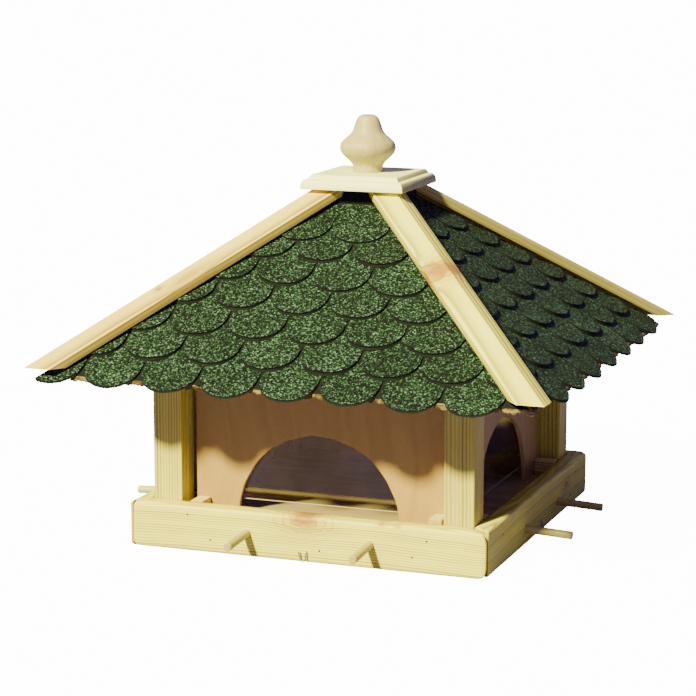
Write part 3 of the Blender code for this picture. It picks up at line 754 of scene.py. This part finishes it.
# For each course from the eave up: where one slot is, how far out its tabs reach, and that line's tilt.
LAYOUT = {
    "front": ((0.0400, 0.2795, 0.003), (0.0070, 0.2478, 0.010), (0.0445, 0.2160, 0.018),
              (0.0145, 0.1830, 0.033), (0.0500, 0.1525, 0.044), (0.0170, 0.1200, 0.030),
              (0.0510, 0.0955, 0.000)),
    "right": ((-0.0145, 0.2770, -0.006), (-0.0340, 0.2455, -0.004), (0.0090, 0.2145, -0.006),
              (0.0440, 0.1830, -0.008), (0.0090, 0.1525, 0.000), (0.0500, 0.1230, -0.006),
              (0.0170, 0.0950, 0.000)),
    "back": ((0.0080, 0.2795, 0.004), (0.0410, 0.2475, 0.002), (0.0120, 0.2155, -0.006),
             (0.0440, 0.1835, -0.010), (0.0140, 0.1520, -0.004), (0.0480, 0.1205, 0.006),
             (0.0170, 0.0950, 0.000)),
    "left": ((0.0300, 0.2795, -0.004), (-0.0020, 0.2480, 0.004), (0.0330, 0.2160, 0.008),
             (0.0020, 0.1840, 0.012), (0.0360, 0.1525, 0.004), (0.0050, 0.1210, 0.000),
             (0.0390, 0.0950, 0.000)),
}
EAVE_SPAN = {"front": (-0.290, 0.2385), "right": (-0.2115, 0.2560), "back": (-0.2560, 0.2560),
             "left": (-0.2400, 0.2550)}


def make_course(side, turn, index, course, finishes):
    """One strip of shingles: round tabs with slots between them, each lying a little differently."""
    rng = random.Random(1000 * index + course)
    slot, reach, tilt = LAYOUT[side][course]
    half = (TAB_PITCH - SLOT) / 2
    low, high = EAVE_SPAN[side] if course == 0 else (-1.0, 1.0)
    rows_up = [0.0, 0.0010, 0.0035, 0.0080, 0.0150, 0.0240, 0.0350, STRIP]
    edge_marks = [1.0, 0.85, 0.35, 0.0, 0.0, 0.0, 0.0, 0.0]
    columns = []
    first, last = math.floor((-reach - slot) / TAB_PITCH) - 1, math.ceil((reach - slot) / TAB_PITCH) + 1
    for tab in range(first, last + 1):
        centre = slot + (tab + 0.5) * TAB_PITCH
        sink, deeper, tone = rng.uniform(0.0, 0.0010), rng.uniform(-0.0010, 0.0008), rng.random()
        lean = rng.uniform(-0.0010, 0.0010)
        outline = [(-half - 0.0002, SLOT_BACK - 0.0015)]
        for k in range(25):
            angle = math.pi * (k / 24 - 0.5)
            outline.append((half * math.sin(angle), ROUND * (1 - math.cos(angle) ** 0.92)))
        outline += [(half + 0.0002, SLOT_BACK - 0.0015), (half + SLOT / 2, SLOT_BACK)]
        for across, back in outline:
            x = centre + across
            fade = 1 - back / SLOT_BACK
            end = reach + tilt * x + deeper * fade + lean * across / half * fade
            edge = min(end - back + ripple((x, course, index), 0.005, 0.0004), SHINGLE_EAVE - 0.0002)
            if abs(x) > edge + 0.012 or not low <= x <= high:
                continue
            top, middle, bottom = [], None, []
            for up in rows_up:
                r = edge - up * (edge - (end - STRIP)) / STRIP
                near_edge = max(0.0, 1 - (end - r) / 0.030)
                drop = SHINGLE_DROP + COURSE_STEP * (end - r) / COURSE + sink * near_edge
                drop += abs(ripple((x, r, course + index), 0.020, 0.0007)) * near_edge
                drop += 0.0014 * near_edge**2 if course == 0 else 0.0
                drop = min(drop, DECK_DROP - 0.0006) if r < DECK_EAVE else drop
                limit = max(0.0, r - 0.0035)
                xc = max(-limit, min(limit, x))
                thick = 0.0021 if course == 0 else TAB_THICK
                below = min(drop + thick, DECK_DROP - 0.0003) if r < DECK_EAVE else drop + thick
                under = 0.0009 if up == 0.0 and course else 0.0
                top.append(Vector((xc, -r, on_slope(r, drop))))
                middle = middle or top[0] - NORMAL_OUT * (below - drop) * 0.55
                bottom.append(Vector((xc, -(r - under), on_slope(r - under, below))))
            columns.append((top, middle, bottom, tone))
    bm = bmesh.new()
    mark, tint = bm.verts.layers.float.new("edge"), bm.verts.layers.float.new("tone")
    made = []
    for top, middle, bottom, tone in columns:
        lines = []
        for line, marks in ((top, edge_marks), ([middle], [1.0]), (bottom, [0.0] * len(bottom))):
            verts = [bm.verts.new(p) for p in line]
            for vert, value in zip(verts, marks):
                vert[mark], vert[tint] = value, tone
            lines.append(verts)
        made.append(lines)
    for (top, middle, bottom), (top2, middle2, bottom2) in zip(made, made[1:]):
        for k in range(len(rows_up) - 1):
            bm.faces.new((top[k], top2[k], top2[k + 1], top[k + 1]))
            bm.faces.new((bottom[k], bottom[k + 1], bottom2[k + 1], bottom2[k])).material_index = 1
        bm.faces.new((top[0], middle[0], middle2[0], top2[0])).material_index = 2
        bm.faces.new((middle[0], bottom[0], bottom2[0], middle2[0])).material_index = 1
        bm.faces.new((top[-1], top2[-1], bottom2[-1], bottom[-1])).material_index = 1
    for top, middle, bottom in (made[0], made[-1]):
        for k in range(len(rows_up) - 1):
            bm.faces.new((top[k], top[k + 1], bottom[k + 1], bottom[k])).material_index = 1
    bmesh.ops.remove_doubles(bm, verts=bm.verts, dist=1e-6)
    turn_mesh(bm, turn)
    replaced = ["shingles_" + side]
    return piece(f"shingle_{side}_{course}", bm, finishes, "feeder", replaced, 40)


def make_underlay_and_shade_band(side, turn, finish):
    """The black underlay seen in the slots, and a black band round the filling opening under the cap: that
    band is painted shade, a dark sheet where the cap casts its shadow.
    """
    bm = bmesh.new()
    low, high, level, thick = DECK_EAVE - 0.0025, FILL_HALF + 0.0002, DECK_DROP - 0.0002, 0.0001
    rows = []
    for k in range(41):
        share = k / 40 * 2 - 1
        points = ((low, level), (high, level), (high, level + thick), (low, level + thick))
        rows.append([((r - 0.0030) * share, -r, on_slope(r, d)) for r, d in points])
    grid_skin(bm, rows)
    # Painted shade: a black band standing in for the cap's shadow round the opening.
    rows = []
    for k in range(9):
        x = (k / 8 * 2 - 1) * (FILL_HALF + 0.0010)
        wave = 0.0004 * math.sin(k * 2.3 + turn)
        foot, head = on_slope(FILL_HALF, DECK_DROP), cap_low.z - 0.0004
        rows.append([(x, -FILL_HALF - 0.0004, foot), (x, -FILL_HALF - 0.0008 + wave, head),
                     (x, -FILL_HALF - 0.0014 + wave, head), (x, -FILL_HALF - 0.0016, foot)])
    grid_skin(bm, rows)
    turn_mesh(bm, turn)
    return piece("felt_" + side, bm, [finish], "feeder")


felt_black = bitumen("bitumen_edge", (0.0015, 0.002, 0.0012), (0.006, 0.008, 0.005))
cut_edge = bitumen("shingle_edge", (0.0015, 0.0022, 0.0012), (0.006, 0.008, 0.005))
for index, (side, turn) in enumerate(SIDES.items()):
    make_deck(side, turn, index)
    # The right slope gets a darker copy of the granules (0.78): painted shade, as that slope lies side-on to
    # the light.
    slate = granules("granules_painted_shade_" + side, index, 0.78 if side == "right" else 1.0)
    for course in range(len(LAYOUT[side])):
        make_course(side, turn, index, course, [slate, felt_black, cut_edge])
    make_underlay_and_shade_band(side, turn, felt_black)


# ---------------------------------------------------------------- hip battens
def carve(obj, low, high):
    """Cuts a box out of a mesh, for good."""
    bm = bmesh.new()
    made = bmesh.ops.create_cube(bm, size=1.0)["verts"]
    size = Vector(high) - Vector(low)
    bmesh.ops.scale(bm, vec=size, verts=made)
    bmesh.ops.translate(bm, vec=(Vector(high) + Vector(low)) / 2, verts=made)
    mesh = bpy.data.meshes.new("carver")
    bm.to_mesh(mesh)
    bm.free()
    cutter = bpy.data.objects.new("carver", mesh)
    bpy.context.scene.collection.objects.link(cutter)
    modifier = obj.modifiers.new("opening", "BOOLEAN")
    modifier.operation, modifier.solver, modifier.object = "DIFFERENCE", "EXACT", cutter
    done = bpy.data.meshes.new_from_object(obj.evaluated_get(bpy.context.evaluated_depsgraph_get()))
    obj.modifiers.clear()
    obj.data = done
    bpy.data.objects.remove(cutter, do_unlink=True)


def eased(points, radius, steps=3):
    """The closed outline through points, with each corner replaced by a short curve."""
    made = []
    for k, point in enumerate(points):
        before, after = points[k - 1], points[(k + 1) % len(points)]
        start = point + (before - point).normalized() * radius
        end = point + (after - point).normalized() * radius
        for s in range(steps + 1):
            t = s / steps
            made.append(start * (1 - t) ** 2 + point * 2 * t * (1 - t) + end * t * t)
    return made


BATTEN_LEGS = {"front_right": (0.029, 0.0255), "back_right": (0.008, 0.029), "back_left": (0.029, 0.0255),
               "front_left": (0.0255, 0.029)}
BATTEN_EDGES = {"front_right": (0.010, 0.0021), "back_right": (0.010, 0.0), "back_left": (0.010, 0.0021),
                "front_left": (0.010, 0.0021)}
BATTEN_KNOTS = {
    "front_right": ((0.150, 0.0, 0.020, 0.060, 1.0),),
    "front_left": ((0.218, 0.006, 0.007, 0.0045, 0.8), (0.185, 0.014, 0.030, 0.007, 0.35)),
    "back_right": ((0.15, 0.004, 0.011, 0.006, 0.6),),
    "back_left": ((0.22, -0.004, 0.012, 0.007, 0.7), (0.09, 0.008, 0.010, 0.005, 0.5)),
}


def make_batten(corner, turn, index):
    """An angle batten over one hip: both legs from one section, with eased edges."""
    down = Vector((1.0, -1.0, -RISE))
    ridge = Vector((0.0, 0.0, RIDGE_APEX))
    front_edge = ridge + Vector((-BATTEN_LEGS[corner][0], 0.0, 0.0))
    right_edge = ridge + Vector((0.0, BATTEN_LEGS[corner][1], 0.0))
    pitch_sin, pitch_cos = math.sin(PITCH), math.cos(PITCH)
    thick, flare = BATTEN_EDGES[corner]
    lines = [
        front_edge, ridge, right_edge,
        right_edge - Vector((pitch_sin, 0.0, pitch_cos)) * thick + Vector((0.0, flare, 0.0)),
        ridge - Vector((0.0, 0.0, thick / pitch_cos)),
        front_edge - Vector((0.0, -pitch_sin, pitch_cos)) * thick - Vector((flare, 0.0, 0.0)),
    ]
    lines = eased(lines, 0.0009)
    low, high = RIDGE_APEX - RISE * RIDGE_TIP, cap_low.z - GAP
    rows = []
    for k in range(49):
        height = low + (high - low) * k / 48
        rows.append([p + down * ((p.z - height) / RISE) for p in lines])
    bm = bmesh.new()
    grid_skin(bm, rows)
    turn_mesh(bm, turn)
    obj = piece("ridge_batten_" + corner, bm, [], "feeder", ["hip_batten_" + corner], 32)
    carve(obj, (-FILL_HALF, -FILL_HALF, 0.30), (FILL_HALF, FILL_HALF, 0.42))
    along = turned((1.0, -1.0, -RISE), turn)
    level = turned((1.0, 1.0, 0.0), turn)
    peach = corner in ("front_left", "back_left")
    if peach:
        looks = {"light": (0.82, 0.66, 0.10), "warm": (0.78, 0.50, 0.06), "late": (0.16, 0.09, 0.012)}
    # The back right batten's darker colours are painted shade: a dimmer copy of the batten wood, since that
    # batten lies on the side turned from the light.
    elif corner == "back_right":
        looks = {"light": (0.50, 0.42, 0.10), "warm": (0.44, 0.34, 0.07), "late": (0.12, 0.09, 0.02)}
    else:
        looks = {"light": (0.84, 0.80, 0.09), "warm": (0.82, 0.68, 0.07), "late": (0.07, 0.05, 0.008)}
    lean = 0.023 if peach else -0.023
    finish = wood("batten_wood_" + corner, turned((0.04, -0.04, on_slope(0.04, 0)), turn), along, level,
                  seed=80 + index, spacing=0.0046, pith=(lean, 0.050), contrast=1.0,
                  knots=BATTEN_KNOTS[corner], waver=0.0005, end=0.9, **looks)
    obj.data.materials.clear()
    obj.data.materials.append(finish)
    obj.data.shade_smooth()
    obj.data.set_sharp_from_angle(angle=math.radians(32))


for index, (corner, turn) in enumerate(CORNERS.items()):
    make_batten(corner, turn, index)


# ---------------------------------------------------------------- lid
def square_ring(half, height, ease=0.0006):
    corners = [(-half, -half), (half, -half), (half, half), (-half, half)]
    points = [Vector((x, y, height)) for x, y in corners]
    return eased(points, ease, 2)


def make_cap():
    """The moulded cap board: a plinth, a quarter round, a quirk and a bevelled top."""
    bottom, half = cap_low.z, cap_high.x
    height = cap_high.z - cap_low.z
    shoulder, shoulder_half, top_half, round_foot = 0.0110, 0.0535, 0.0491, 0.002
    quirk_half, quirk = shoulder_half - 0.0016, shoulder + 0.0002
    profile = [(half - 0.0005, 0.0), (half, 0.0005), (half, round_foot)]
    for k in range(1, 13):
        angle = math.pi / 2 * k / 12
        out = shoulder_half + (half - shoulder_half) * math.cos(angle)
        profile.append((out, round_foot + (shoulder - round_foot) * math.sin(angle)))
    profile += [(shoulder_half - 0.0010, shoulder - 0.0003), (quirk_half, quirk)]
    for k in range(1, 7):
        t = k / 6
        profile.append((quirk_half - (quirk_half - top_half) * t, quirk + (height - quirk) * t**0.8))
    bm = bmesh.new()
    grid_skin(bm, [square_ring(h, bottom + z) for h, z in profile])
    finish = wood("cap_wood", (0, 0, bottom), (1, 0, 0), (0, 1, 0), seed=90, light=(0.97, 0.99, 0.42),
                  warm=(0.95, 0.93, 0.34), late=(0.66, 0.60, 0.18), spacing=0.0026, pith=(0.080, 0.035),
                  contrast=0.45, end=0.50, fibre=0.08)
    return piece("cap_moulding", bm, [finish], "lid", ["cap_board"], 28)


# The knob's outline from the cap up: (radius, height).
FINIAL = (
    (0.0166, 0.0000), (0.0164, 0.0045), (0.0170, 0.0075), (0.0192, 0.0105), (0.0240, 0.0152),
    (0.0286, 0.0200), (0.0305, 0.0245), (0.0305, 0.0282), (0.0286, 0.0325), (0.0236, 0.0372),
    (0.0186, 0.0418), (0.0162, 0.0462), (0.0143, 0.0520), (0.0124, 0.0570), (0.0096, 0.0606),
    (0.0058, 0.0621),
)


def spline(points, steps):
    """A smooth curve through plane points, with steps pieces between one point and the next."""
    ends = [(2 * points[0][0] - points[1][0], 2 * points[0][1] - points[1][1]), *points,
            (2 * points[-1][0] - points[-2][0], 2 * points[-1][1] - points[-2][1])]
    made = []
    for four in zip(ends, ends[1:], ends[2:], ends[3:]):
        for k in range(steps):
            t = k / steps
            made.append(tuple(0.5 * (2 * q + (r - p) * t + (2 * p - 5 * q + 4 * r - w) * t * t
                                     + (3 * q - p - 3 * r + w) * t**3) for p, q, r, w in zip(*four)))
    return made + [points[-1]]


def make_finial():
    base, top = finial_low.z, finial_high.z - finial_low.z
    scale = top / FINIAL[-1][1]
    curve = [(r, min(top, z * scale)) for r, z in spline(FINIAL, 7)]
    bm = bmesh.new()
    profile = [(0.0, base), *((r, base + z) for r, z in curve), (0.0, base + top)]
    lathe(bm, profile, 96, Matrix.Translation((-0.0012, 0, 0)))
    finish = beech("finial_beech_finish", (0.004, 0.002, base), (0, 0, 1), light=(0.50, 0.42, 0.17),
                   dark=(0.38, 0.30, 0.10))
    return piece("knob", bm, [finish], "lid", ["finial"], 60)


make_cap()
make_finial()


# ---------------------------------------------------------------- stage, light and camera
def stage_piece(name, bm, albedo, glow_strength):
    """A white stage surface whose glow lights nothing but the stage itself."""
    mesh = bpy.data.meshes.new(name)
    bm.to_mesh(mesh)
    bm.free()
    made = bpy.data.objects.new(name, mesh)
    bpy.context.scene.collection.objects.link(made)
    t = Tree(name + "_paper")
    diffuse = t.add("ShaderNodeBsdfDiffuse", {0: (albedo, 0.90 * albedo, 2.0 * albedo, 1.0)})
    glow = t.add("ShaderNodeEmission", {0: (1.0, 1.0, 1.0, 1.0), 1: glow_strength})
    both = t.add("ShaderNodeAddShader", {0: diffuse.outputs[0], 1: glow.outputs[0]})
    mesh.materials.append(t.finish(both))
    only = bpy.data.collections.new(name + "_receivers")
    only.objects.link(made)
    made.light_linking.receiver_collection = only
    return made


floor_mesh = bmesh.new()
bmesh.ops.create_grid(floor_mesh, x_segments=1, y_segments=1, size=60.0)
stage_piece("stage_floor", floor_mesh, 0.20, 14.0).location.z = -0.0002
dome_mesh = bmesh.new()
bmesh.ops.create_icosphere(dome_mesh, subdivisions=4, radius=36.0)
dome = stage_piece("stage_backdrop", dome_mesh, 0.10, 14.0)
dome.visible_diffuse = dome.visible_glossy = dome.visible_transmission = dome.visible_shadow = False

world = bpy.data.worlds.new("studio")
world.use_nodes = True
world.node_tree.nodes["Background"].inputs[0].default_value = (1.0, 0.86, 2.70, 1.0)
world.node_tree.nodes["Background"].inputs[1].default_value = 0.19
bpy.context.scene.world = world

key = bpy.data.lights.new("key", "SUN")
key.energy = 17.0
key.angle = math.radians(5.5)
key.color = (1.0, 0.97, 0.48)
key_lamp = bpy.data.objects.new("key", key)
key_lamp.rotation_mode = "QUATERNION"
key_lamp.rotation_quaternion = Vector((0.31, 1.0, -0.85)).to_track_quat("-Z", "Y")
bpy.context.scene.collection.objects.link(key_lamp)

camera = bpy.data.cameras.new("camera")
camera.sensor_width = 36.0
camera.lens = 123.94
camera.clip_end = 200.0
camera_rig = bpy.data.objects.new("camera", camera)
camera_rig.location = (0.8902, -2.4661, 0.6837)
camera_rig.rotation_mode = "QUATERNION"
look = Vector((-0.0338, 0.0249, 0.1878)) - camera_rig.location
camera_rig.rotation_quaternion = look.to_track_quat("-Z", "Y")
bpy.context.scene.collection.objects.link(camera_rig)
bpy.context.scene.camera = camera_rig

bpy.context.view_layer.update()
